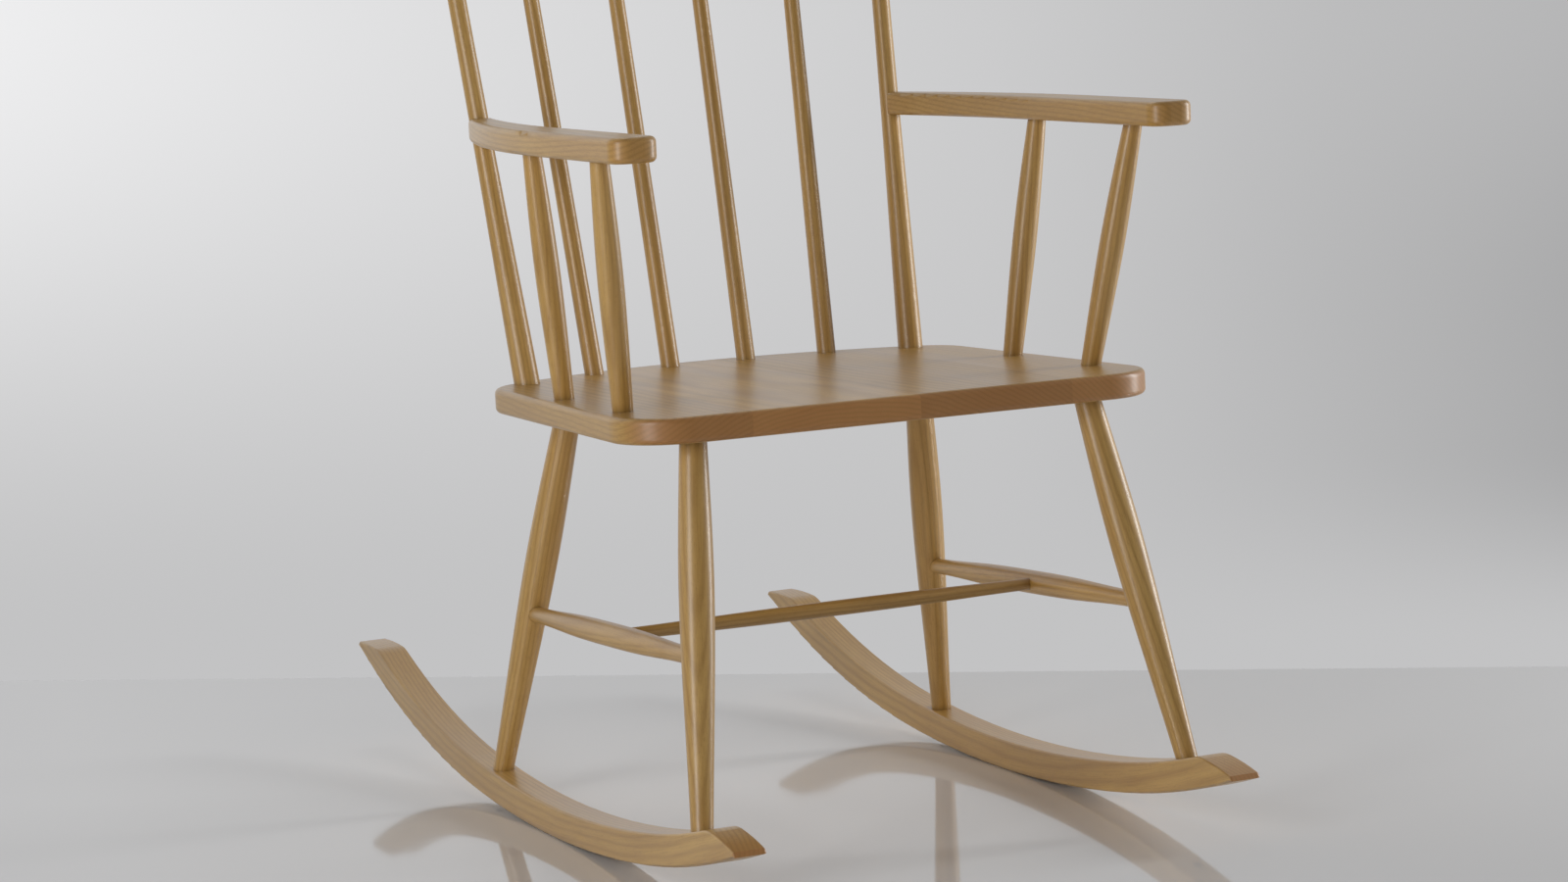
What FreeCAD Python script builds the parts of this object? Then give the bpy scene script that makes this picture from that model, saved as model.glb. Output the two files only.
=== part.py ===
import FreeCAD, Part
import math
import os

# Spindle-back rocking armchair in solid beech, in millimetres.
# X is the sitter's left-right line, the chair faces -Y and +Z is up.
# The origin is on the floor under the middle of the rockers' length.

# Rockers: bent bars of one section, resting on the floor at contact_y
ROCKER_WIDTH = 30.0
ROCKER_HEIGHT = 28.8
ROCKER_CENTRE_X = 236.0
CONTACT_Y = -50.2
MIDDLE_RADIUS = 1805.0
FRONT_RADIUS = 1198.0
REAR_RADIUS = 1074.0
FRONT_TIP_Y = -488.0
FRONT_ARC_Y = -298.0
REAR_ARC_Y = 157.0
REAR_TIP_Y = 488.0
TIP_HEIGHT = 5.0
FRONT_TIP_SLOPE_LENGTH = 50.0
REAR_TIP_SLOPE_LENGTH = 55.0
TIP_CROWN = 0.64
TIP_SHOULDER_RADIUS = 50.0
ROCKER_EDGE_RADIUS = 2.0

# Seat: edge-glued staves, level when the chair rests
SEAT_FRONT_Y = -345.0
SEAT_BACK_Y = 127.0
SEAT_FRONT_HALF_WIDTH = 261.0
SEAT_SIDE_TAPER = 0.044
SEAT_THICKNESS = 23.0
SEAT_TOP_Z = 407.3
SEAT_BACK_ARC_RADIUS = 465.0
SEAT_FRONT_CORNER_RADIUS = 58.0
SEAT_BACK_CORNER_RADIUS = 56.0
SEAT_EDGE_RADIUS = 5.0
STAVE_JOINTS_X = (-150.0, 10.0, 160.0)
STAVE_NAMES = ("seat_stave_left", "seat_stave_centre_left", "seat_stave_centre_right", "seat_stave_right")

# Legs: turned and splayed, with a round tenon at each end
FRONT_LEG_TOP = (192.5, -311.7)
REAR_LEG_TOP = (181.8, 8.8)
FRONT_LEG_FOOT_Y = -387.8
REAR_LEG_FOOT_Y = 100.0
LEG_PROFILE = ((0.0, 12.0), (0.12, 13.4), (0.34, 15.3), (0.62, 13.9), (0.85, 11.2), (1.0, 9.8))
LEG_SEAT_TENON_RADIUS = 9.5
LEG_ROCKER_TENON_RADIUS = 7.5
LEG_ROCKER_TENON_LENGTH = 18.0
BLIND_DEPTH = 17.0

# Stretchers: swelled bars in an H between the legs
SIDE_STRETCHER_FRONT_Z = 203.0
SIDE_STRETCHER_REAR_Z = 188.8
SIDE_STRETCHER_END_RADIUS = 7.6
SIDE_STRETCHER_MIDDLE_RADIUS = 11.0
CENTRE_STRETCHER_Y = -159.6
CENTRE_STRETCHER_END_RADIUS = 5.6
CENTRE_STRETCHER_MIDDLE_RADIUS = 7.2
STRETCHER_TENON_FROM_AXIS = 3.0

# Back: two stout posts and four spindles, standing in the seat and raked back
POST_FOOT = (202.2, 61.7)
POST_SLOPE = (0.0567, 0.1983)
POST_PROFILE = ((0.0, 12.2), (0.2, 10.8), (0.4, 9.4), (0.6, 8.8), (1.0, 8.2))
SPINDLE_FEET = ((123.1, 88.7), (40.1, 97.8))
SPINDLE_SLOPES = ((0.0400, 0.2008), (0.0115, 0.2108))
SPINDLE_PROFILE = ((0.0, 9.2), (0.3, 8.5), (0.65, 7.6), (1.0, 6.8))
POST_SEAT_TENON_RADIUS = 9.0
SPINDLE_SEAT_TENON_RADIUS = 7.5
CREST_TENON_RADIUS = 5.5
CREST_TENON_LENGTH = 28.0

# Crest rail: a bent bar that joins the tops of the back
CREST_BOTTOM_Z = 985.0
CREST_HEIGHT = 100.0
CREST_THICKNESS = 25.0
CREST_ARC_RADIUS = 612.0
CREST_RAKE_DEG = 11.6
CREST_MIDDLE_Y = 221.4
CREST_HALF_WIDTH = 268.0
CREST_END_RADIUS = 26.0
CREST_EDGE_RADIUS = 5.0

# Arms: flat boards, curved in plan, that widen from the post to the front
ARM_BOTTOM_Z = 630.8
ARM_LEVEL_Y = -123.0
ARM_DROP_DEG = 1.3
ARM_THICKNESS = 22.0
ARM_FRONT_Y = -381.0
ARM_FRONT_INNER_X = 234.5
ARM_FRONT_OUTER_X = 277.5
ARM_CORNER_RADIUS = 16.0
ARM_INNER_ARC = ((206.0, 95.0), (225.5, -16.0), (234.5, -166.0))
ARM_OUTER_ARC = ((227.5, 110.0), (262.5, -26.0), (277.5, -196.0))
ARM_EDGE_RADIUS = 5.0

# Arm spindles: short turned bars that swell in the middle
ARM_SPINDLE_FEET = ((228.7, -104.0), (231.3, -251.2))
ARM_SPINDLE_SLOPES = ((0.1134, -0.1009), (0.1248, -0.2193))
ARM_SPINDLE_PROFILE = ((0.0, 9.2), (0.25, 10.6), (0.52, 11.4), (0.78, 10.3), (1.0, 8.4))
ARM_SPINDLE_TENON_RADIUS = 7.0
ARM_TENON_LENGTH = 16.0

# Hidden fasteners
SCREW_SHANK_RADIUS = 2.2
SCREW_HEAD_RADIUS = 4.2
SCREW_HEAD_HEIGHT = 3.0
ROCKER_SCREW_LENGTH = 38.0
ROCKER_SCREW_RECESS = 5.0
ARM_SCREW_LENGTH = 55.0
ARM_SCREW_RECESS = 6.5
PLUG_RADIUS = 4.6
CREST_PIN_RADIUS = 2.5

# Room for glue between a tenon and its socket
GLUE_GAP = 0.1
SOCKET_END_GAP = 0.6


def vec(x, y, z):
    """A point or direction."""
    return FreeCAD.Vector(x, y, z)


def arm_bottom_z(y):
    """Height of the arm's flat underside, which drops a little towards the front."""
    return ARM_BOTTOM_Z + math.tan(math.radians(ARM_DROP_DEG)) * (y - ARM_LEVEL_Y)


def rod(start, end, radius):
    """A plain cylinder from one point to another."""
    axis = end.sub(start)
    return Part.makeCylinder(radius, axis.Length, start, axis)


def along(start, direction, distance):
    """The point at a distance from start in a direction."""
    step = FreeCAD.Vector(direction)
    step.normalize()
    return start.add(step.multiply(distance))


def turned(start, end, profile):
    """A turned bar on the line from start to end, through (fraction, radius) points."""
    axis = end.sub(start)
    length = axis.Length
    points = [vec(radius, 0, fraction * length) for fraction, radius in profile]
    curve = Part.BSplineCurve()
    curve.interpolate(points)
    outline = [
        Part.makeLine(vec(0, 0, 0), points[0]),
        curve.toShape(),
        Part.makeLine(points[-1], vec(0, 0, length)),
        Part.makeLine(vec(0, 0, length), vec(0, 0, 0)),
    ]
    face = Part.Face(Part.Wire(outline))
    solid = face.revolve(vec(0, 0, 0), vec(0, 0, 1), 360)
    turn = FreeCAD.Rotation(vec(0, 0, 1), axis)
    solid.Placement = FreeCAD.Placement(start, turn)
    return solid


def radius_at(profile, share):
    """A profile's radius at a share of its length, on the straight line between its points."""
    for (low, low_radius), (high, high_radius) in zip(profile[:-1], profile[1:]):
        if share <= high:
            return low_radius + (high_radius - low_radius) * (share - low) / (high - low)
    return profile[-1][1]


def swelled(start, end, end_radius, middle_radius, plain):
    """A bar that is plain for a length at both ends and swells between them."""
    length = end.sub(start).Length
    edge = plain / length
    quarter = end_radius + 0.72 * (middle_radius - end_radius)
    profile = (
        (0.0, end_radius),
        (edge * 0.5, end_radius),
        (edge, end_radius + 0.04),
        (0.27, quarter),
        (0.5, middle_radius),
        (0.73, quarter),
        (1.0 - edge, end_radius + 0.04),
        (1.0 - edge * 0.5, end_radius),
        (1.0, end_radius),
    )
    return turned(start, end, profile)


def mirrored(shape):
    """The same piece on the other side of the chair."""
    return shape.mirror(vec(0, 0, 0), vec(1, 0, 0))


def biggest(shape):
    """The largest solid of a cut."""
    return max(shape.Solids, key=lambda solid: solid.Volume)


# Rocker curve


def arc_centre(at, radius):
    """Centre of an end arc that is tangent to the middle arc where it begins."""
    angle = math.asin(at / MIDDLE_RADIUS)
    touch_z = MIDDLE_RADIUS * (1.0 - math.cos(angle))
    return at - radius * math.sin(angle), touch_z + radius * math.cos(angle)


def rocker_arcs():
    """(centre y, centre z, radius, low y, high y) of each arc of the underside."""
    front_y, front_z = arc_centre(FRONT_ARC_Y - CONTACT_Y, FRONT_RADIUS)
    rear_y, rear_z = arc_centre(REAR_ARC_Y - CONTACT_Y, REAR_RADIUS)
    return (
        (CONTACT_Y + front_y, front_z, FRONT_RADIUS, FRONT_TIP_Y, FRONT_ARC_Y),
        (CONTACT_Y, MIDDLE_RADIUS, MIDDLE_RADIUS, FRONT_ARC_Y, REAR_ARC_Y),
        (CONTACT_Y + rear_y, rear_z, REAR_RADIUS, REAR_ARC_Y, REAR_TIP_Y),
    )


def rocker_point(under_y, raised):
    """The point above an underside point, raised square to the curve."""
    for centre_y, centre_z, radius, low, high in rocker_arcs():
        if low - 0.001 <= under_y <= high + 0.001:
            angle = math.asin((under_y - centre_y) / radius)
            inner = radius - raised
            return vec(0, centre_y + inner * math.sin(angle), centre_z - inner * math.cos(angle))
    raise ValueError("the rocker does not reach that far")


def rocker_top(y):
    """The point of the rocker's top face at a distance y."""
    low, high = FRONT_TIP_Y, REAR_TIP_Y
    for step in range(60):
        middle = 0.5 * (low + high)
        if rocker_point(middle, ROCKER_HEIGHT).y < y:
            low = middle
        else:
            high = middle
    return rocker_point(middle, ROCKER_HEIGHT)


def arc_between(y_a, y_b, raised):
    """The piece of the rocker's curve between two underside places on one arc."""
    middle = rocker_point(0.5 * (y_a + y_b), raised)
    return Part.Arc(rocker_point(y_a, raised), middle, rocker_point(y_b, raised)).toShape()


def tip_edges(tip_y, slope_length):
    """The short tip and the rounded slope up to the top face, from the tip upward."""
    side = 1.0 if tip_y > 0 else -1.0
    tip = rocker_point(tip_y, 0)
    nose = rocker_point(tip_y - side * 1.5, TIP_HEIGHT)
    landing = rocker_point(tip_y - side * slope_length, ROCKER_HEIGHT)
    crown = rocker_point(tip_y - side * slope_length * 0.5, ROCKER_HEIGHT * TIP_CROWN)
    return [Part.makeLine(tip, nose), Part.Arc(nose, crown, landing).toShape()]


def rocker_blank():
    """The right rocker without its sockets."""
    edges = [
        arc_between(FRONT_TIP_Y, FRONT_ARC_Y, 0),
        arc_between(FRONT_ARC_Y, REAR_ARC_Y, 0),
        arc_between(REAR_ARC_Y, REAR_TIP_Y, 0),
    ]
    edges += tip_edges(REAR_TIP_Y, REAR_TIP_SLOPE_LENGTH)
    edges += [
        arc_between(REAR_ARC_Y, REAR_TIP_Y - REAR_TIP_SLOPE_LENGTH, ROCKER_HEIGHT),
        arc_between(FRONT_ARC_Y, REAR_ARC_Y, ROCKER_HEIGHT),
        arc_between(FRONT_TIP_Y + FRONT_TIP_SLOPE_LENGTH, FRONT_ARC_Y, ROCKER_HEIGHT),
    ]
    edges += tip_edges(FRONT_TIP_Y, FRONT_TIP_SLOPE_LENGTH)
    wire = Part.Wire(Part.sortEdges(edges)[0])
    side = Part.Face(wire)
    side.translate(vec(ROCKER_CENTRE_X - 0.5 * ROCKER_WIDTH, 0, 0))
    solid = side.extrude(vec(ROCKER_WIDTH, 0, 0))
    shoulders = []
    for landing_y in (FRONT_TIP_Y + FRONT_TIP_SLOPE_LENGTH, REAR_TIP_Y - REAR_TIP_SLOPE_LENGTH):
        landing = rocker_point(landing_y, ROCKER_HEIGHT)
        for edge in solid.Edges:
            middle = edge.CenterOfMass
            if abs(middle.y - landing.y) < 0.1 and abs(middle.z - landing.z) < 0.1:
                shoulders.append(edge)
    solid = solid.makeFillet(TIP_SHOULDER_RADIUS, shoulders)
    long_edges = [edge for edge in solid.Edges if abs(edge.BoundBox.XLength) < 0.01]
    return solid.makeFillet(ROCKER_EDGE_RADIUS, long_edges)


# Seat


def seat_half_width(y):
    """Half of the seat's width between its corners."""
    return SEAT_FRONT_HALF_WIDTH - SEAT_SIDE_TAPER * (y - SEAT_FRONT_Y)


def seat_blank():
    """The whole glued seat without its sockets."""
    arc_y = SEAT_BACK_Y - SEAT_BACK_ARC_RADIUS
    side_y = SEAT_BACK_Y
    for step in range(40):
        reach = seat_half_width(side_y)
        side_y = arc_y + math.sqrt(SEAT_BACK_ARC_RADIUS ** 2 - reach ** 2)
    front_x = seat_half_width(SEAT_FRONT_Y)
    back_x = seat_half_width(side_y)
    corners = [vec(-front_x, SEAT_FRONT_Y, 0), vec(front_x, SEAT_FRONT_Y, 0)]
    corners += [vec(back_x, side_y, 0), vec(-back_x, side_y, 0)]
    edges = [
        Part.makeLine(corners[0], corners[1]),
        Part.makeLine(corners[1], corners[2]),
        Part.Arc(corners[2], vec(0, SEAT_BACK_Y, 0), corners[3]).toShape(),
        Part.makeLine(corners[3], corners[0]),
    ]
    slab = Part.Face(Part.Wire(edges)).extrude(vec(0, 0, SEAT_THICKNESS))
    for radius, wanted in ((SEAT_FRONT_CORNER_RADIUS, SEAT_FRONT_Y), (SEAT_BACK_CORNER_RADIUS, side_y)):
        uprights = []
        for edge in slab.Edges:
            box = edge.BoundBox
            if box.ZLength > SEAT_THICKNESS - 0.1 and abs(box.YMin - wanted) < 0.1 and box.YLength < 0.1:
                uprights.append(edge)
        slab = slab.makeFillet(radius, uprights)
    rims = [edge for edge in slab.Edges if edge.BoundBox.ZLength < 0.01]
    slab = slab.makeFillet(SEAT_EDGE_RADIUS, rims)
    slab.translate(vec(0, 0, SEAT_TOP_Z - SEAT_THICKNESS))
    return slab


def seat_block(above):
    """A block that fills everything above the seat's underside, or below its top."""
    big = 700.0
    low_z = SEAT_TOP_Z - SEAT_THICKNESS if above else SEAT_TOP_Z - big
    return Part.makeBox(2 * big, 2 * big, big, vec(-big, -big, low_z))


def seat_staves(seat):
    """The staves that the seat is glued from, left to right."""
    bounds = (-400.0,) + STAVE_JOINTS_X + (400.0,)
    staves = {}
    for name, low, high in zip(STAVE_NAMES, bounds[:-1], bounds[1:]):
        cutter = Part.makeBox(high - low, 1200.0, 200.0, vec(low, -600.0, 320.0))
        staves[name] = biggest(seat.common(cutter))
    return staves


# Arms and crest rail


def arm_blank():
    """The right arm without its sockets."""
    inner = [vec(x, y, 0) for x, y in ARM_INNER_ARC]
    outer = [vec(x, y, 0) for x, y in ARM_OUTER_ARC]
    front_inner = vec(ARM_FRONT_INNER_X, ARM_FRONT_Y, 0)
    front_outer = vec(ARM_FRONT_OUTER_X, ARM_FRONT_Y, 0)
    edges = [
        Part.Arc(*inner).toShape(),
        Part.makeLine(inner[2], front_inner),
        Part.makeLine(front_inner, front_outer),
        Part.makeLine(front_outer, outer[2]),
        Part.Arc(outer[2], outer[1], outer[0]).toShape(),
        Part.makeLine(outer[0], inner[0]),
    ]
    board = Part.Face(Part.Wire(edges)).extrude(vec(0, 0, ARM_THICKNESS))
    corners = []
    for edge in board.Edges:
        box = edge.BoundBox
        if box.ZLength > ARM_THICKNESS - 0.1 and box.YMax < ARM_FRONT_Y + 1.0:
            corners.append(edge)
    board = board.makeFillet(ARM_CORNER_RADIUS, corners)
    rims = []
    for edge in board.Edges:
        box = edge.BoundBox
        at_post = box.YMin > ARM_INNER_ARC[0][1] - 1.0
        if box.ZLength < 0.01 and not at_post:
            rims.append(edge)
    board = board.makeFillet(ARM_EDGE_RADIUS, rims)
    board.translate(vec(0, 0, ARM_BOTTOM_Z))
    board.rotate(vec(0, ARM_LEVEL_Y, ARM_BOTTOM_Z), vec(1, 0, 0), ARM_DROP_DEG)
    return board


def crest_blank():
    """The crest rail without its sockets: an arc in plan, raked back with the spindles."""
    inner = CREST_ARC_RADIUS - 0.5 * CREST_THICKNESS
    outer = CREST_ARC_RADIUS + 0.5 * CREST_THICKNESS
    centre_y = CREST_MIDDLE_Y - CREST_ARC_RADIUS
    half_turn = math.asin(CREST_HALF_WIDTH / CREST_ARC_RADIUS)

    def on_arc(radius, turn):
        return vec(radius * math.sin(turn), centre_y + radius * math.cos(turn), 0)

    edges = [
        Part.Arc(on_arc(inner, -half_turn), on_arc(inner, 0), on_arc(inner, half_turn)).toShape(),
        Part.makeLine(on_arc(inner, half_turn), on_arc(outer, half_turn)),
        Part.Arc(on_arc(outer, half_turn), on_arc(outer, 0), on_arc(outer, -half_turn)).toShape(),
        Part.makeLine(on_arc(outer, -half_turn), on_arc(inner, -half_turn)),
    ]
    rail = Part.Face(Part.Wire(edges)).extrude(vec(0, 0, CREST_HEIGHT))
    top_ends = []
    for edge in rail.Edges:
        box = edge.BoundBox
        at_end = min(abs(box.XMin), abs(box.XMax)) > CREST_HALF_WIDTH - 12.0
        if at_end and box.ZLength < 0.01 and box.XLength < 15.0 and box.YLength > 5.0:
            top_ends.append(edge)
    rail = rail.makeFillet(CREST_END_RADIUS, top_ends)
    rims = []
    for edge in rail.Edges:
        box = edge.BoundBox
        across = box.YLength < CREST_THICKNESS + 2.0 and box.ZLength < 0.5 and box.XLength < CREST_THICKNESS
        if not across:
            rims.append(edge)
    rail = rail.makeFillet(CREST_EDGE_RADIUS, rims)
    rail.rotate(vec(0, CREST_MIDDLE_Y, 0), vec(1, 0, 0), -CREST_RAKE_DEG)
    rail.translate(vec(0, 0, CREST_BOTTOM_Z))
    return rail


# Screws, plugs and pins


def countersunk_screw(head, tip):
    """A wood screw: a countersunk head, a shank and a point."""
    axis = tip.sub(head)
    neck = along(head, axis, SCREW_HEAD_HEIGHT)
    point = along(tip, axis, -6.0)
    cone = Part.makeCone(SCREW_HEAD_RADIUS, SCREW_SHANK_RADIUS, SCREW_HEAD_HEIGHT, head, axis)
    end = Part.makeCone(SCREW_SHANK_RADIUS, 0.3, 6.0, point, axis)
    return biggest(cone.fuse([rod(neck, point, SCREW_SHANK_RADIUS), end]).removeSplitter())


def screw_room(head, tip, recess):
    """The hole that a screw needs, with its head sunk below the surface."""
    axis = tip.sub(head)
    neck = along(head, axis, SCREW_HEAD_HEIGHT)
    gap = GLUE_GAP
    sunk = rod(along(head, axis, -recess - 4.0), head, PLUG_RADIUS + gap)
    cone = Part.makeCone(SCREW_HEAD_RADIUS + gap, SCREW_SHANK_RADIUS + gap, SCREW_HEAD_HEIGHT, head, axis)
    shank = rod(neck, along(tip, axis, SOCKET_END_GAP), SCREW_SHANK_RADIUS + gap)
    return cone.fuse([sunk, shank])


# The whole chair


def tenon(shoulder, axis, radius, length):
    """A tenon solid that starts inside its bar, and the socket that takes it."""
    start = along(shoulder, axis, -12.0)
    pin = rod(start, along(shoulder, axis, length), radius)
    socket = rod(along(shoulder, axis, -6.0), along(shoulder, axis, length + SOCKET_END_GAP), radius + GLUE_GAP)
    return pin, socket


def leg(top_x, top_y, foot_y, rocker, above_seat):
    """A right-hand leg, its sockets in seat and rocker, and its axis points."""
    top = vec(top_x, top_y, SEAT_TOP_Z - SEAT_THICKNESS)
    foot = rocker_top(foot_y)
    foot.x = ROCKER_CENTRE_X
    down = foot.sub(top)
    reach = 16.0
    bar = turned(top, foot, LEG_PROFILE)
    first, last = LEG_PROFILE[0][1], LEG_PROFILE[-1][1]
    bar = bar.fuse([rod(along(top, down, -reach), top, first), rod(foot, along(foot, down, reach), last)])
    bar = biggest(bar.cut(above_seat))
    bar = biggest(bar.cut(rocker))
    up = top.sub(foot)
    top_pin, top_socket = tenon(top, up, LEG_SEAT_TENON_RADIUS, BLIND_DEPTH)
    foot_pin, foot_socket = tenon(foot, down, LEG_ROCKER_TENON_RADIUS, LEG_ROCKER_TENON_LENGTH)
    bar = biggest(bar.fuse([top_pin, foot_pin]).removeSplitter())
    return {"bar": bar, "top": top, "foot": foot, "seat_socket": top_socket, "rocker_socket": foot_socket}


def at_height(low, high, z):
    """The point on a line at a height."""
    share = (z - low.z) / (high.z - low.z)
    return low.add(high.sub(low).multiply(share))


def upright(foot, slope, profile, seat_tenon, crest, below_seat_top):
    """A right-hand post or spindle of the back, with its two sockets."""
    base = vec(foot[0], foot[1], SEAT_TOP_Z)
    rise = vec(slope[0], slope[1], 1.0)
    shoulder = base.add(FreeCAD.Vector(rise).multiply(CREST_BOTTOM_Z - base.z))
    reach = 20.0
    bar = turned(base, shoulder, profile)
    first, last = profile[0][1], profile[-1][1]
    ends = [rod(along(base, rise, -reach), base, first), rod(shoulder, along(shoulder, rise, reach), last)]
    bar = biggest(bar.fuse(ends).cut(below_seat_top))
    bar = biggest(bar.cut(crest))
    foot_pin, foot_socket = tenon(base, base.sub(shoulder), seat_tenon, BLIND_DEPTH)
    top_pin, top_socket = tenon(shoulder, rise, CREST_TENON_RADIUS, CREST_TENON_LENGTH)
    bar = biggest(bar.fuse([foot_pin, top_pin]).removeSplitter())
    return {
        "bar": bar,
        "base": base,
        "rise": rise,
        "shoulder": shoulder,
        "seat_socket": foot_socket,
        "crest_socket": top_socket,
    }


def post_around(post, extra):
    """The post's own turned shape, made thicker by a gap."""
    wider = [(share, radius + extra) for share, radius in POST_PROFILE]
    return turned(post["base"], post["shoulder"], wider)


def arm_spindle(foot, slope, arm, below_seat_top):
    """A right-hand arm spindle, with its two sockets."""
    base = vec(foot[0], foot[1], SEAT_TOP_Z)
    rise = vec(slope[0], slope[1], 1.0)
    under_arm = arm_bottom_z(foot[1] + slope[1] * (ARM_BOTTOM_Z - SEAT_TOP_Z))
    top = base.add(FreeCAD.Vector(rise).multiply(under_arm - base.z))
    reach = 8.0
    bar = turned(base, top, ARM_SPINDLE_PROFILE)
    first, last = ARM_SPINDLE_PROFILE[0][1], ARM_SPINDLE_PROFILE[-1][1]
    bar = bar.fuse([rod(along(base, rise, -reach), base, first), rod(top, along(top, rise, reach), last)])
    bar = biggest(bar.cut(below_seat_top))
    bar = biggest(bar.cut(arm))
    foot_pin, foot_socket = tenon(base, base.sub(top), ARM_SPINDLE_TENON_RADIUS, BLIND_DEPTH)
    top_pin, top_socket = tenon(top, rise, ARM_SPINDLE_TENON_RADIUS, ARM_TENON_LENGTH)
    bar = biggest(bar.fuse([foot_pin, top_pin]).removeSplitter())
    return {"bar": bar, "seat_socket": foot_socket, "arm_socket": top_socket}


def side_stretcher(front, rear):
    """The bar between the two right-hand legs, with its sockets."""
    front_point = at_height(front["foot"], front["top"], SIDE_STRETCHER_FRONT_Z)
    rear_point = at_height(rear["foot"], rear["top"], SIDE_STRETCHER_REAR_Z)
    axis = rear_point.sub(front_point)
    start = along(front_point, axis, STRETCHER_TENON_FROM_AXIS)
    end = along(rear_point, axis, -STRETCHER_TENON_FROM_AXIS)
    plain = 2.0 * LEG_PROFILE[2][1]
    bar = swelled(start, end, SIDE_STRETCHER_END_RADIUS, SIDE_STRETCHER_MIDDLE_RADIUS, plain)
    radius = SIDE_STRETCHER_END_RADIUS + GLUE_GAP
    front_socket = rod(along(start, axis, -SOCKET_END_GAP), along(start, axis, 26.0), radius)
    rear_socket = rod(along(end, axis, -26.0), along(end, axis, SOCKET_END_GAP), radius)
    return {"bar": bar, "line": (front_point, rear_point), "front_socket": front_socket, "rear_socket": rear_socket}


def centre_stretcher(line):
    """The bar between the side stretchers, and its right-hand socket."""
    front_point, rear_point = line
    share = (CENTRE_STRETCHER_Y - front_point.y) / (rear_point.y - front_point.y)
    right = front_point.add(rear_point.sub(front_point).multiply(share))
    tenon_x = right.x - STRETCHER_TENON_FROM_AXIS
    end = vec(tenon_x, right.y, right.z)
    start = vec(-tenon_x, right.y, right.z)
    plain = 2.0 * SIDE_STRETCHER_MIDDLE_RADIUS
    bar = swelled(start, end, CENTRE_STRETCHER_END_RADIUS, CENTRE_STRETCHER_MIDDLE_RADIUS, plain)
    socket_end = vec(tenon_x + SOCKET_END_GAP, right.y, right.z)
    inside = vec(tenon_x - 22.0, right.y, right.z)
    return bar, rod(inside, socket_end, CENTRE_STRETCHER_END_RADIUS + GLUE_GAP)


def rocker_screws(front, rear):
    """The two right-hand screws, up through the rocker into the leg tenons, and their room."""
    screws = []
    rooms = []
    for one in (front, rear):
        up = one["top"].sub(one["foot"])
        head = along(one["foot"], up, -ROCKER_HEIGHT + ROCKER_SCREW_RECESS)
        tip = along(head, up, ROCKER_SCREW_LENGTH)
        screws.append(countersunk_screw(head, tip))
        rooms.append(screw_room(head, tip, ROCKER_SCREW_RECESS))
    return screws, rooms


def arm_fixing(post):
    """The right-hand screw from the back of the post into the arm, its plug and its room."""
    height = arm_bottom_z(ARM_INNER_ARC[0][1]) + 0.5 * ARM_THICKNESS
    centre = post["base"].add(FreeCAD.Vector(post["rise"]).multiply(height - post["base"].z))
    share = (height - post["base"].z) / (CREST_BOTTOM_Z - post["base"].z)
    back = centre.y + radius_at(POST_PROFILE, share)
    head = vec(centre.x, back - ARM_SCREW_RECESS, height)
    tip = vec(centre.x + 4.0, head.y - ARM_SCREW_LENGTH, height)
    room = screw_room(head, tip, ARM_SCREW_RECESS)
    axis = head.sub(tip)
    plug_start = along(head, axis, 0.4)
    plug = rod(plug_start, along(plug_start, axis, 20.0), PLUG_RADIUS)
    return countersunk_screw(head, tip), plug, room


def crest_pin(post, crest):
    """A dowel from the back of the crest rail through the right post's tenon."""
    height = CREST_BOTTOM_Z + 0.5 * CREST_TENON_LENGTH
    centre = post["base"].add(FreeCAD.Vector(post["rise"]).multiply(height - post["base"].z))
    lean = math.radians(CREST_RAKE_DEG)
    axis = vec(0, math.cos(lean), -math.sin(lean))
    start = along(centre, axis, -7.5)
    end = along(centre, axis, 30.0)
    pin = biggest(rod(start, end, CREST_PIN_RADIUS).common(crest))
    room = rod(along(start, axis, -SOCKET_END_GAP), end, CREST_PIN_RADIUS + GLUE_GAP)
    return pin, room


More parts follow.
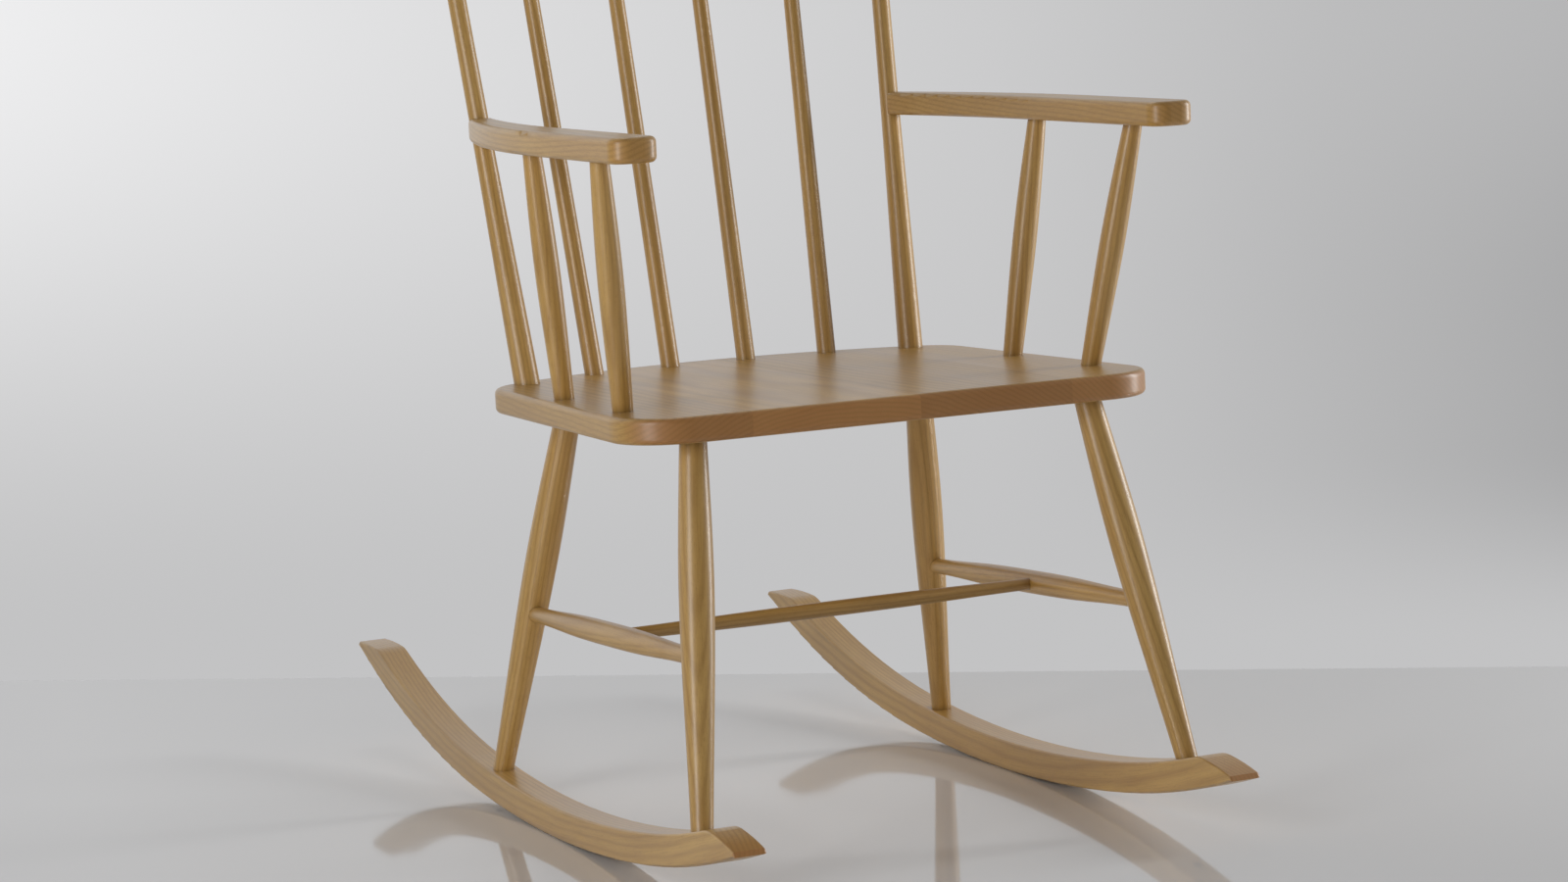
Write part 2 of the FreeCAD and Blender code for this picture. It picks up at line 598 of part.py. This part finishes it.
def build():
    """Every node of the chair, by name."""
    above_seat = seat_block(True)
    below_seat_top = seat_block(False)
    rocker = rocker_blank()
    seat = seat_blank()
    arm = arm_blank()
    crest = crest_blank()

    front_leg = leg(FRONT_LEG_TOP[0], FRONT_LEG_TOP[1], FRONT_LEG_FOOT_Y, rocker, above_seat)
    rear_leg = leg(REAR_LEG_TOP[0], REAR_LEG_TOP[1], REAR_LEG_FOOT_Y, rocker, above_seat)
    post = upright(POST_FOOT, POST_SLOPE, POST_PROFILE, POST_SEAT_TENON_RADIUS, crest, below_seat_top)
    spindles = []
    for foot, slope in zip(SPINDLE_FEET, SPINDLE_SLOPES):
        spindles.append(upright(foot, slope, SPINDLE_PROFILE, SPINDLE_SEAT_TENON_RADIUS, crest, below_seat_top))
    arm_spindles = []
    for foot, slope in zip(ARM_SPINDLE_FEET, ARM_SPINDLE_SLOPES):
        arm_spindles.append(arm_spindle(foot, slope, arm, below_seat_top))

    side = side_stretcher(front_leg, rear_leg)
    centre, centre_socket = centre_stretcher(side["line"])
    foot_screws, foot_rooms = rocker_screws(front_leg, rear_leg)
    arm_screw, arm_plug, arm_room = arm_fixing(post)
    pin, pin_room = crest_pin(post, crest)

    # sockets are cut into each right-hand piece, and the left-hand one is its mirror image
    rocker = biggest(rocker.cut([front_leg["rocker_socket"], rear_leg["rocker_socket"]] + foot_rooms))
    front_bar = biggest(front_leg["bar"].cut([side["front_socket"], foot_rooms[0]]))
    rear_bar = biggest(rear_leg["bar"].cut([side["rear_socket"], foot_rooms[1]]))
    side_bar = biggest(side["bar"].cut(centre_socket))
    arm_lap = post_around(post, GLUE_GAP)
    arm = biggest(arm.cut([arm_lap, arm_room] + [one["arm_socket"] for one in arm_spindles]))
    post_bar = biggest(post["bar"].cut([arm_room, pin_room]))
    plug = biggest(arm_plug.common(post_around(post, 0.0)))

    seat_sockets = [front_leg["seat_socket"], rear_leg["seat_socket"], post["seat_socket"]]
    seat_sockets += [one["seat_socket"] for one in spindles + arm_spindles]
    seat = seat.cut(seat_sockets + [mirrored(socket) for socket in seat_sockets])
    crest_rooms = [post["crest_socket"], pin_room] + [one["crest_socket"] for one in spindles]
    crest = biggest(crest.cut(crest_rooms + [mirrored(room) for room in crest_rooms]))

    nodes = seat_staves(seat)
    right_pieces = {
        "rocker": rocker,
        "front_leg": front_bar,
        "rear_leg": rear_bar,
        "side_stretcher": side_bar,
        "back_post": post_bar,
        "outer_spindle": spindles[0]["bar"],
        "inner_spindle": spindles[1]["bar"],
        "arm": arm,
        "rear_arm_spindle": arm_spindles[0]["bar"],
        "front_arm_spindle": arm_spindles[1]["bar"],
    }
    for name, piece in right_pieces.items():
        nodes["right_" + name] = piece
        nodes["left_" + name] = mirrored(piece)
    nodes["centre_stretcher"] = centre
    nodes["crest_rail"] = crest
    groups = {
        "rocker_screws": foot_screws,
        "arm_screws": [arm_screw],
        "arm_screw_plugs": [plug],
        "crest_pins": [pin],
    }
    for name, pieces in groups.items():
        nodes[name] = Part.makeCompound(pieces + [mirrored(piece) for piece in pieces])
    return nodes


os.makedirs("parts", exist_ok=True)
for node_name, node_shape in build().items():
    node_shape.exportStep("parts/" + node_name + ".step")
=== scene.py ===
import bpy
import math
from mathutils import Matrix, Vector

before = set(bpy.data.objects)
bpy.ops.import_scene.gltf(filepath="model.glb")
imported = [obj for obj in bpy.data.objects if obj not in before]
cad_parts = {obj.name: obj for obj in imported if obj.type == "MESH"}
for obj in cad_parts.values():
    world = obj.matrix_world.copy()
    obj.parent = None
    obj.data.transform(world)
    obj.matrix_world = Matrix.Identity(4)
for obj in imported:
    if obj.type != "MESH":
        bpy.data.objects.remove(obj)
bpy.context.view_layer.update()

# Camera, in metres in the chair's own frame
CAMERA_PLACE = (-1.42317, -3.24467, 0.74571)
CAMERA_RIGHT = (0.908607, -0.414305, -0.052775)
CAMERA_UP = (0.095350, 0.082749, 0.991998)
LENS_MM = 85.88
SENSOR_MM = 36.0

# Wood tones, as linear colours
BEECH_LIGHT = (0.61, 0.378, 0.118)
BEECH_MIDDLE = (0.50, 0.288, 0.076)
BEECH_DARK = (0.29, 0.140, 0.028)
END_GRAIN = (0.40, 0.165, 0.045)

# How far the noises of the wood are stretched, as (across, along) the grain, in cycles per metre
WAVE_STRETCH = (9.0, 2.2)
FIBRE_STRETCH = (900.0, 22.0)
FLECK_STRETCH = (1500.0, 210.0)
BROAD_STRETCH = (26.0, 3.2)
STREAK_STRETCH = (130.0, 4.0)

# Growth rings: their width and how far they wave, in metres, and how thin their dark line is
RING_WIDTH = 0.0042
RING_WAVE = 0.016
RING_SHARPNESS = 2.2

# How much of the darker tone each mark takes
STREAK_SHARE = 0.55
RING_SHARE = 0.34
FIBRE_SHARE = 0.30
FLECK_SHARE = 0.28
END_RING_SHARE = 0.45
END_FIBRE_SHARE = 0.5
END_SHARE = 0.8
ARM_END_SHARE = 0.3

# The shade of a piece with tone 0, and how much lighter one with tone 1 is
SHADE_LOW = 0.78
SHADE_SPREAD = 0.50
GREEN_LOW = 0.975
GREEN_SPREAD = 0.05
BLUE_LOW = 0.94
BLUE_SPREAD = 0.12

# How far the grain moves from one piece to the next, and where the pith lies, in metres
GRAIN_STEP = (0.37, 0.23, 0.61)
FIRST_TURNED_SEED = 5
USUAL_PITH = (0.05, 0.09)

# Satin lacquer, the painted shade in the corners between pieces and the fine relief
PAINTED_SHADE_REACH = 0.012
PAINTED_CORNER_SHADE = 0.62
WOOD_ROUGHNESS = (0.36, 0.46)
END_ROUGHNESS = 0.10
WOOD_IOR = 1.5
WOOD_SPECULAR = 0.5
COAT_WEIGHT = 0.5
COAT_ROUGHNESS = 0.27
COAT_IOR = 1.5
RELIEF_STRENGTH = 0.35
RELIEF_DEPTH = 0.00012
RELIEF_FIBRE = 0.45
RELIEF_FLECK = -0.5
RELIEF_RING = 0.25

# Screw steel
STEEL = (0.52, 0.51, 0.49)
STEEL_MARK = 0.78
STEEL_STRETCH = (900.0, 4000.0)
STEEL_ROUGHNESS = (0.28, 0.42)

# The direction that each kind of piece's grain runs in
STAVE_GRAIN = (0, 1, 0)
ARM_GRAIN = (0.08, 1, 0.016)
CENTRE_STRETCHER_GRAIN = (1, 0, 0)
PIN_GRAIN = (0, 1, 0)
PLUG_GRAIN = (0, 0, 1)

# Circles that the bent pieces' grain follows: (centre y, centre z or centre x, radius) in metres
ROCKER_GRAIN = (-0.020, 1.420, 1.420)
CREST_GRAIN_RADIUS = 0.612
CREST_MIDDLE_Y = 0.2214

# Floor sheet: its far edge behind the chair, how far it runs forward and to each side, and its gloss
FLOOR_COLOUR = (0.86, 0.86, 0.865)
FLOOR_FAR_LEFT = (-0.487, 1.159)
FLOOR_FAR_RIGHT = (0.954, 0.029)
FLOOR_REACH = 4.0
FLOOR_SIDE = 3.0
FLOOR_ROUGHNESS = (0.055, 0.07)
FLOOR_SMEAR_SCALE = 3.0
FLOOR_IOR = 1.75

# Wall behind the chair: its level, its glow at the upper left and its dim side on the right. The spans
# are sines of the angle from the middle of the photograph, to the right or up
WALL_LEVEL = 0.545
WALL_GLOW = 0.31
WALL_DIM = 0.14
WALL_BLUE = 1.01
GLOW_ACROSS = (-0.205, 0.143)
GLOW_UP = (-0.055, 0.117)
GLOW_FALL = 1.25
DIM_ACROSS = (0.052, 0.205)
DIM_UP_START = (-0.055, 0.0)
DIM_UP_END = (0.03, 0.118)
DIM_AT_TOP = 0.55
DIM_FALL = 1.3

# The soft light of the room: weaker from the photographer's side and from the ceiling
SOFT_LIGHT = 0.36
SOFT_COLOUR = (0.97, 0.98, 1.0, 1.0)
TOWARD_WALL = (0.409, 0.912, 0.0)
FRONT_SPAN = (-0.6, 0.6)
FRONT_SHARE = 0.30
CEILING_SPAN = (0.25, 0.9)
CEILING_SHARE = 0.35

# Softboxes: name, place, target, (width, height) in metres, and power in watts
SOFTBOXES = (
    ("top_softbox", (0.1, 1.1, 2.6), (0.0, 0.0, 0.3), (1.1, 0.8), 4.0),
    ("left_softbox", (-2.3, -1.3, 0.95), (0.0, 0.0, 0.6), (0.8, 1.8), 28.0),
    ("right_rim", (2.6, -0.6, 1.0), (0.0, 0.0, 0.6), (0.6, 1.8), 44.0),
)


def node(tree, kind, **settings):
    """A new node with its settings."""
    made = tree.nodes.new(kind)
    for name, value in settings.items():
        setattr(made, name, value)
    return made


def feed(tree, socket, value):
    """Links an output or sets a plain value on an input."""
    if isinstance(value, bpy.types.NodeSocket):
        tree.links.new(value, socket)
    else:
        socket.default_value = value


def maths(tree, operation, first, second=0.5, third=0.5):
    """One math node's output."""
    made = node(tree, "ShaderNodeMath", operation=operation)
    feed(tree, made.inputs[0], first)
    feed(tree, made.inputs[1], second)
    feed(tree, made.inputs[2], third)
    return made.outputs[0]


def vector_maths(tree, operation, first, second=(0.0, 0.0, 0.0)):
    """One vector math node."""
    made = node(tree, "ShaderNodeVectorMath", operation=operation)
    feed(tree, made.inputs[0], first)
    feed(tree, made.inputs[1], second)
    return made


def combined(tree, x, y, z):
    """A vector from three values."""
    made = node(tree, "ShaderNodeCombineXYZ")
    for socket, value in zip(made.inputs, (x, y, z)):
        feed(tree, socket, value)
    return made.outputs[0]


def ranged(tree, value, low, high, out_low=0.0, out_high=1.0, smooth=True):
    """A value moved from one range to another, clamped."""
    made = node(tree, "ShaderNodeMapRange")
    made.interpolation_type = "SMOOTHSTEP" if smooth else "LINEAR"
    feed(tree, made.inputs["Value"], value)
    feed(tree, made.inputs["From Min"], low)
    feed(tree, made.inputs["From Max"], high)
    feed(tree, made.inputs["To Min"], out_low)
    feed(tree, made.inputs["To Max"], out_high)
    return made.outputs["Result"]


def mixed(tree, factor, first, second, blend="MIX"):
    """Two colours mixed."""
    made = node(tree, "ShaderNodeMix", data_type="RGBA", blend_type=blend)
    feed(tree, made.inputs[0], factor)
    for socket, value in ((made.inputs[6], first), (made.inputs[7], second)):
        if isinstance(value, tuple):
            value = (*value, 1.0)
        feed(tree, socket, value)
    return made.outputs[2]


def noise(tree, place, scale, detail=2.0, roughness=0.5):
    """A noise value, about 0.5 on average."""
    made = node(tree, "ShaderNodeTexNoise")
    feed(tree, made.inputs["Vector"], place)
    made.inputs["Scale"].default_value = scale
    made.inputs["Detail"].default_value = detail
    made.inputs["Roughness"].default_value = roughness
    return made.outputs["Fac"]


def stretched(tree, place, stretch):
    """The grain place, stretched differently across and along the grain."""
    across, along = stretch
    return vector_maths(tree, "MULTIPLY", place, (across, across, along)).outputs[0]


def straight_grain(tree, direction):
    """(place with Z along the grain, how squarely the surface cuts the grain)."""
    coords = node(tree, "ShaderNodeTexCoord")
    axis = Vector(direction).normalized()
    turn = axis.rotation_difference(Vector((0.0, 0.0, 1.0)))
    mapping = node(tree, "ShaderNodeMapping", vector_type="POINT")
    mapping.inputs["Rotation"].default_value = turn.to_euler()
    feed(tree, mapping.inputs["Vector"], coords.outputs["Object"])
    facing = vector_maths(tree, "DOT_PRODUCT", coords.outputs["Normal"], tuple(axis))
    return mapping.outputs[0], maths(tree, "ABSOLUTE", facing.outputs["Value"])


def bent_grain(tree, circle, flat):
    """The same for grain bent round a circle, in the side plane or in plan."""
    centre_y, centre_other, radius = circle
    coords = node(tree, "ShaderNodeTexCoord")
    parts = node(tree, "ShaderNodeSeparateXYZ")
    feed(tree, parts.inputs[0], coords.outputs["Object"])
    x, y, z = parts.outputs
    if flat:
        along = x
        back = maths(tree, "SUBTRACT", y, centre_y)
        across = z
    else:
        along = maths(tree, "SUBTRACT", y, centre_y)
        back = maths(tree, "SUBTRACT", centre_other, z)
        across = x
    angle = maths(tree, "ARCTAN2", along, back)
    squares = maths(tree, "ADD", maths(tree, "POWER", along, 2.0), maths(tree, "POWER", back, 2.0))
    depth = maths(tree, "SUBTRACT", radius, maths(tree, "SQRT", squares))
    place = combined(tree, across, depth, maths(tree, "MULTIPLY", angle, radius))
    cosine = maths(tree, "COSINE", angle)
    sine = maths(tree, "SINE", angle)
    if flat:
        tangent = combined(tree, cosine, maths(tree, "MULTIPLY", sine, -1.0), 0.0)
    else:
        tangent = combined(tree, 0.0, cosine, sine)
    facing = vector_maths(tree, "DOT_PRODUCT", coords.outputs["Normal"], tangent)
    return place, maths(tree, "ABSOLUTE", facing.outputs["Value"])


def growth_rings(tree, place, seed, pith):
    """The dark lines of the growth rings, round a pith that lies outside the piece."""
    wave = noise(tree, stretched(tree, place, WAVE_STRETCH), 1.0, 3.0)
    parts = node(tree, "ShaderNodeSeparateXYZ")
    feed(tree, parts.inputs[0], place)
    pith_x = pith[0] - GRAIN_STEP[0] * seed
    pith_y = pith[1] - GRAIN_STEP[1] * seed
    off_x = maths(tree, "POWER", maths(tree, "ADD", parts.outputs[0], pith_x), 2.0)
    off_y = maths(tree, "POWER", maths(tree, "ADD", parts.outputs[1], pith_y), 2.0)
    distance = maths(tree, "SQRT", maths(tree, "ADD", off_x, off_y))
    warped = maths(tree, "MULTIPLY_ADD", wave, RING_WAVE, distance)
    phase = maths(tree, "MULTIPLY", warped, 2.0 * math.pi / RING_WIDTH)
    rings = maths(tree, "MULTIPLY_ADD", maths(tree, "SINE", phase), 0.5, 0.5)
    return maths(tree, "POWER", rings, RING_SHARPNESS)


def long_grain_colour(tree, place, ring_line, fibre, flecks, broad):
    """The colour of a face along the grain: slow changes, streaks, rings, fibre and flecks."""
    streak = noise(tree, stretched(tree, place, STREAK_STRETCH), 1.0, 2.0, 0.55)
    pale = mixed(tree, ranged(tree, broad, 0.3, 0.7), BEECH_MIDDLE, BEECH_LIGHT)
    base = mixed(tree, ranged(tree, streak, 0.35, 0.75, 0.0, STREAK_SHARE), pale, BEECH_MIDDLE)
    base = mixed(tree, maths(tree, "MULTIPLY", ring_line, RING_SHARE), base, BEECH_DARK)
    base = mixed(tree, ranged(tree, fibre, 0.42, 0.70, 0.0, FIBRE_SHARE), base, BEECH_DARK)
    return mixed(tree, maths(tree, "MULTIPLY", flecks, FLECK_SHARE), base, BEECH_DARK)


def end_grain_colour(tree, ring_line, fibre):
    """The colour of a face across the grain, which is redder and shows the rings more."""
    tone = mixed(tree, maths(tree, "MULTIPLY", ring_line, END_RING_SHARE), END_GRAIN, BEECH_DARK)
    return mixed(tree, maths(tree, "MULTIPLY", fibre, END_FIBRE_SHARE), tone, END_GRAIN)


def piece_tint(tone):
    """The tint of one piece, from 0 for the darkest and reddest to 1 for the palest."""
    shade = SHADE_LOW + SHADE_SPREAD * tone
    green = shade * (GREEN_LOW + GREEN_SPREAD * tone)
    blue = shade * (BLUE_LOW + BLUE_SPREAD * tone)
    return shade, green, blue


def painted_corner_shade(tree, colour):
    """Painted shade: the colour is darkened in the corners between pieces, where ambient occlusion finds
    them closed in.
    """
    corner = node(tree, "ShaderNodeAmbientOcclusion", samples=6)
    corner.inputs["Distance"].default_value = PAINTED_SHADE_REACH
    unshaded = ranged(tree, corner.outputs["AO"], 0.25, 0.85, PAINTED_CORNER_SHADE, 1.0)
    return mixed(tree, 1.0, colour, combined(tree, unshaded, unshaded, unshaded), "MULTIPLY")


def lacquer(shader):
    """The even part of the satin coat."""
    shader.inputs["IOR"].default_value = WOOD_IOR
    shader.inputs["Specular IOR Level"].default_value = WOOD_SPECULAR
    shader.inputs["Coat Weight"].default_value = COAT_WEIGHT
    shader.inputs["Coat Roughness"].default_value = COAT_ROUGHNESS
    shader.inputs["Coat IOR"].default_value = COAT_IOR


def relief(tree, ring_line, fibre, flecks):
    """Open grain under the lacquer, as a normal."""
    height = maths(tree, "MULTIPLY_ADD", fibre, RELIEF_FIBRE, maths(tree, "MULTIPLY", flecks, RELIEF_FLECK))
    height = maths(tree, "MULTIPLY_ADD", ring_line, RELIEF_RING, height)
    bump = node(tree, "ShaderNodeBump")
    bump.inputs["Strength"].default_value = RELIEF_STRENGTH
    bump.inputs["Distance"].default_value = RELIEF_DEPTH
    feed(tree, bump.inputs["Height"], height)
    return bump.outputs[0]


def beech(name, seed, tone, direction=None, circle=None, flat=False, pith=USUAL_PITH, end_share=END_SHARE):
    """Clear-lacquered beech: growth rings, fine fibre, short flecks, end grain and a satin coat."""
    material = bpy.data.materials.new(name)
    material.use_nodes = True
    tree = material.node_tree
    tree.nodes.clear()
    out = node(tree, "ShaderNodeOutputMaterial")
    shader = node(tree, "ShaderNodeBsdfPrincipled")
    feed(tree, out.inputs["Surface"], shader.outputs[0])
    if circle:
        place, squareness = bent_grain(tree, circle, flat)
    else:
        place, squareness = straight_grain(tree, direction)
    move = tuple(step * seed for step in GRAIN_STEP)
    place = vector_maths(tree, "ADD", place, move).outputs[0]

    ring_line = growth_rings(tree, place, seed, pith)
    fibre = noise(tree, stretched(tree, place, FIBRE_STRETCH), 1.0, 3.0, 0.6)
    fleck_noise = noise(tree, stretched(tree, place, FLECK_STRETCH), 1.0, 1.0)
    flecks = ranged(tree, fleck_noise, 0.60, 0.72)
    broad = noise(tree, stretched(tree, place, BROAD_STRETCH), 1.0, 2.0)

    base = long_grain_colour(tree, place, ring_line, fibre, flecks, broad)
    cut = ranged(tree, squareness, 0.25, 0.75)
    end_tone = end_grain_colour(tree, ring_line, fibre)
    colour = mixed(tree, maths(tree, "MULTIPLY", cut, end_share), base, end_tone)
    colour = mixed(tree, 1.0, colour, piece_tint(tone), "MULTIPLY")
    # The base colour gets painted shade in the corners between pieces
    feed(tree, shader.inputs["Base Color"], painted_corner_shade(tree, colour))

    rough = ranged(tree, broad, 0.25, 0.75, *WOOD_ROUGHNESS, smooth=False)
    rough = maths(tree, "MULTIPLY_ADD", cut, END_ROUGHNESS, rough)
    feed(tree, shader.inputs["Roughness"], rough)
    lacquer(shader)
    feed(tree, shader.inputs["Normal"], relief(tree, ring_line, fibre, flecks))
    return material


def steel(name):
    """Zinc-plated screw steel with fine turning marks."""
    material = bpy.data.materials.new(name)
    material.use_nodes = True
    tree = material.node_tree
    shader = tree.nodes["Principled BSDF"]
    coords = node(tree, "ShaderNodeTexCoord")
    marks = noise(tree, stretched(tree, coords.outputs["Object"], STEEL_STRETCH), 1.0, 2.0)
    colour = mixed(tree, marks, STEEL, tuple(STEEL_MARK * value for value in STEEL))
    feed(tree, shader.inputs["Base Color"], colour)
    feed(tree, shader.inputs["Roughness"], ranged(tree, marks, 0.3, 0.7, *STEEL_ROUGHNESS))
    shader.inputs["Metallic"].default_value = 1.0
    return material


def dress(name, material):
    """Gives a CAD piece its material."""
    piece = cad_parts[name]
    if not piece.data.materials:
        piece.data.materials.append(material)
    for place in piece.material_slots:
        place.material = material


def long_axis(name):
    """The direction of a straight piece, from one of its farthest points to the other."""
    points = [Vector(v.co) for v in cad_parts[name].data.vertices]
    middle = sum(points, Vector()) / len(points)
    far = max(points, key=lambda point: (point - middle).length)
    other = max(points, key=lambda point: (point - far).length)
    return (far - other).normalized()


def dress_seat():
    """Each stave of the seat is its own cut of beech."""
    stave_tones = {
        "seat_stave_left": 0.36,
        "seat_stave_centre_left": 0.62,
        "seat_stave_centre_right": 0.30,
        "seat_stave_right": 0.52,
    }
    for seed, (name, tone) in enumerate(stave_tones.items(), 1):
        pith = (0.03 * seed, 0.055 + 0.02 * (seed % 2))
        dress(name, beech(name + "_beech", seed, tone, direction=STAVE_GRAIN, pith=pith))


def dress_turned_pieces(seed):
    """Legs, stretchers, posts and spindles, with the grain along each; gives the next piece's seed."""
    turned_tones = {
        "front_leg": (0.42, 0.48),
        "rear_leg": (0.60, 0.46),
        "side_stretcher": (0.58, 0.66),
        "back_post": (0.62, 0.55),
        "outer_spindle": (0.48, 0.66),
        "inner_spindle": (0.56, 0.50),
        "rear_arm_spindle": (0.66, 0.52),
        "front_arm_spindle": (0.50, 0.60),
    }
    for part, tones in turned_tones.items():
        for side, tone in zip(("left_", "right_"), tones):
            name = side + part
            pith = (0.012 + 0.004 * (seed % 3), 0.02 + 0.006 * (seed % 4))
            axis = long_axis(name)
            dress(name, beech(name + "_beech", seed, tone, direction=axis, pith=pith))
            seed += 1
    stretcher = beech("centre_stretcher_beech", seed, 0.0, direction=CENTRE_STRETCHER_GRAIN)
    dress("centre_stretcher", stretcher)
    return seed + 1


def dress_bent_pieces_and_arms(seed):
    """Rockers, arms and crest rail, with their pins and plugs."""
    for side, tone in (("left_", 0.5), ("right_", 0.55)):
        rocker = beech(side + "rocker_beech", seed, tone, circle=ROCKER_GRAIN)
        dress(side + "rocker", rocker)
        arm = beech(side + "arm_beech", seed + 1, tone, direction=ARM_GRAIN, end_share=ARM_END_SHARE)
        dress(side + "arm", arm)
        seed += 2

    crest_circle = (CREST_MIDDLE_Y - CREST_GRAIN_RADIUS, 0.0, CREST_GRAIN_RADIUS)
    crest = beech("crest_rail_beech", seed, 0.5, circle=crest_circle, flat=True)
    dress("crest_rail", crest)
    dress("crest_pins", beech("crest_pins_beech", seed + 1, 0.35, direction=PIN_GRAIN))
    dress("arm_screw_plugs", beech("arm_screw_plugs_beech", seed + 2, 0.45, direction=PLUG_GRAIN))


def dress_chair():
    """Every piece of the chair gets its own cut of beech, and the screws steel."""
    dress_seat()
    dress_bent_pieces_and_arms(dress_turned_pieces(FIRST_TURNED_SEED))
    for name in ("rocker_screws", "arm_screws"):
        dress(name, steel(name + "_steel"))


def floor_material():
    """A pale, glossy sheet with faint smears."""
    material = bpy.data.materials.new("floor_sheet")
    material.use_nodes = True
    tree = material.node_tree
    shader = tree.nodes["Principled BSDF"]
    coords = node(tree, "ShaderNodeTexCoord")
    smear = noise(tree, coords.outputs["Object"], FLOOR_SMEAR_SCALE, 4.0)
    feed(tree, shader.inputs["Base Color"], (*FLOOR_COLOUR, 1.0))
    feed(tree, shader.inputs["Roughness"], ranged(tree, smear, 0.3, 0.7, *FLOOR_ROUGHNESS))
    shader.inputs["IOR"].default_value = FLOOR_IOR
    return material


def floor():
    """The sheet that the chair stands on, cut off behind the chair as in the photograph."""
    left = Vector((*FLOOR_FAR_LEFT, 0.0))
    right = Vector((*FLOOR_FAR_RIGHT, 0.0))
    step = (right - left).normalized()
    forward = Vector((step.y, -step.x, 0.0))
    corners = [left - FLOOR_SIDE * step, right + FLOOR_SIDE * step]
    corners += [corners[1] + forward * FLOOR_REACH, corners[0] + forward * FLOOR_REACH]
    mesh = bpy.data.meshes.new("floor")
    mesh.from_pydata([tuple(corner) for corner in corners], [], [(0, 1, 2, 3)])
    sheet = bpy.data.objects.new("floor", mesh)
    sheet.data.materials.append(floor_material())
    bpy.context.scene.collection.objects.link(sheet)


def area_light(name, place, target, size, power):
    """A rectangular softbox aimed at a target."""
    data = bpy.data.lights.new(name, "AREA")
    data.shape = "RECTANGLE"
    data.size, data.size_y = size
    data.energy = power
    lamp = bpy.data.objects.new(name, data)
    lamp.location = place
    aim = Vector(target) - Vector(place)
    lamp.rotation_euler = aim.to_track_quat("-Z", "Y").to_euler()
    bpy.context.scene.collection.objects.link(lamp)


def wall_level(tree, toward):
    """How light the wall is in a direction: brightest at the upper left, dim on the right."""
    rightward = vector_maths(tree, "DOT_PRODUCT", toward, CAMERA_RIGHT).outputs["Value"]
    upward = vector_maths(tree, "DOT_PRODUCT", toward, CAMERA_UP).outputs["Value"]
    left_glow = ranged(tree, rightward, *GLOW_ACROSS, 1.0, 0.0, smooth=False)
    left_glow = maths(tree, "POWER", left_glow, GLOW_FALL)
    glow = maths(tree, "MULTIPLY", left_glow, ranged(tree, upward, *GLOW_UP))
    right_dim = maths(tree, "POWER", ranged(tree, rightward, *DIM_ACROSS, smooth=False), DIM_FALL)
    low_end = ranged(tree, upward, *DIM_UP_START)
    high_end = ranged(tree, upward, *DIM_UP_END, 1.0, DIM_AT_TOP)
    dim = maths(tree, "MULTIPLY", right_dim, maths(tree, "MULTIPLY", low_end, high_end))
    level = maths(tree, "MULTIPLY_ADD", glow, WALL_GLOW, WALL_LEVEL)
    return maths(tree, "MULTIPLY_ADD", dim, -WALL_DIM, level)


def backdrop():
    """The world: a soft light, and for the camera and for reflections a pale wall."""
    world = bpy.data.worlds.new("studio")
    bpy.context.scene.world = world
    world.use_nodes = True
    tree = world.node_tree
    tree.nodes.clear()
    out = node(tree, "ShaderNodeOutputWorld")
    coords = node(tree, "ShaderNodeTexCoord")
    rays = node(tree, "ShaderNodeLightPath")
    toward = coords.outputs["Generated"]

    # The photographer's side of the room is darker than the wall behind the chair
    behind = vector_maths(tree, "DOT_PRODUCT", toward, TOWARD_WALL).outputs["Value"]
    share = ranged(tree, behind, *FRONT_SPAN, FRONT_SHARE, 1.0)
    seen_share = maths(tree, "MAXIMUM", share, rays.outputs["Is Camera Ray"])
    level = maths(tree, "MULTIPLY", wall_level(tree, toward), seen_share)
    wall = node(tree, "ShaderNodeBackground")
    wall_colour = combined(tree, level, level, maths(tree, "MULTIPLY", level, WALL_BLUE))
    feed(tree, wall.inputs["Color"], wall_colour)

    soft = node(tree, "ShaderNodeBackground")
    soft.inputs["Color"].default_value = SOFT_COLOUR
    heights = node(tree, "ShaderNodeSeparateXYZ")
    feed(tree, heights.inputs[0], toward)
    low_share = ranged(tree, heights.outputs[2], *CEILING_SPAN, 1.0, CEILING_SHARE)
    soft_level = maths(tree, "MULTIPLY", maths(tree, "MULTIPLY", share, low_share), SOFT_LIGHT)
    feed(tree, soft.inputs["Strength"], soft_level)

    seen = maths(tree, "MAXIMUM", rays.outputs["Is Camera Ray"], rays.outputs["Is Glossy Ray"])
    seen = maths(tree, "MAXIMUM", seen, rays.outputs["Is Transmission Ray"])
    mix = node(tree, "ShaderNodeMixShader")
    feed(tree, mix.inputs[0], seen)
    feed(tree, mix.inputs[1], soft.outputs[0])
    feed(tree, mix.inputs[2], wall.outputs[0])
    feed(tree, out.inputs["Surface"], mix.outputs[0])


def lights():
    """Soft studio light from above, from the left and from the right."""
    for softbox in SOFTBOXES:
        area_light(*softbox)


def camera():
    """The photograph's viewing angle."""
    data = bpy.data.cameras.new("camera")
    data.sensor_width = SENSOR_MM
    data.lens = LENS_MM
    made = bpy.data.objects.new("camera", data)
    right = Vector(CAMERA_RIGHT).normalized()
    back = right.cross(Vector(CAMERA_UP)).normalized()
    up = back.cross(right)
    turn = Matrix((right, up, back)).transposed().to_4x4()
    made.matrix_world = Matrix.Translation(Vector(CAMERA_PLACE)) @ turn
    bpy.context.scene.collection.objects.link(made)
    bpy.context.scene.camera = made


bpy.context.scene.view_settings.view_transform = "Standard"
dress_chair()
floor()
backdrop()
lights()
camera()
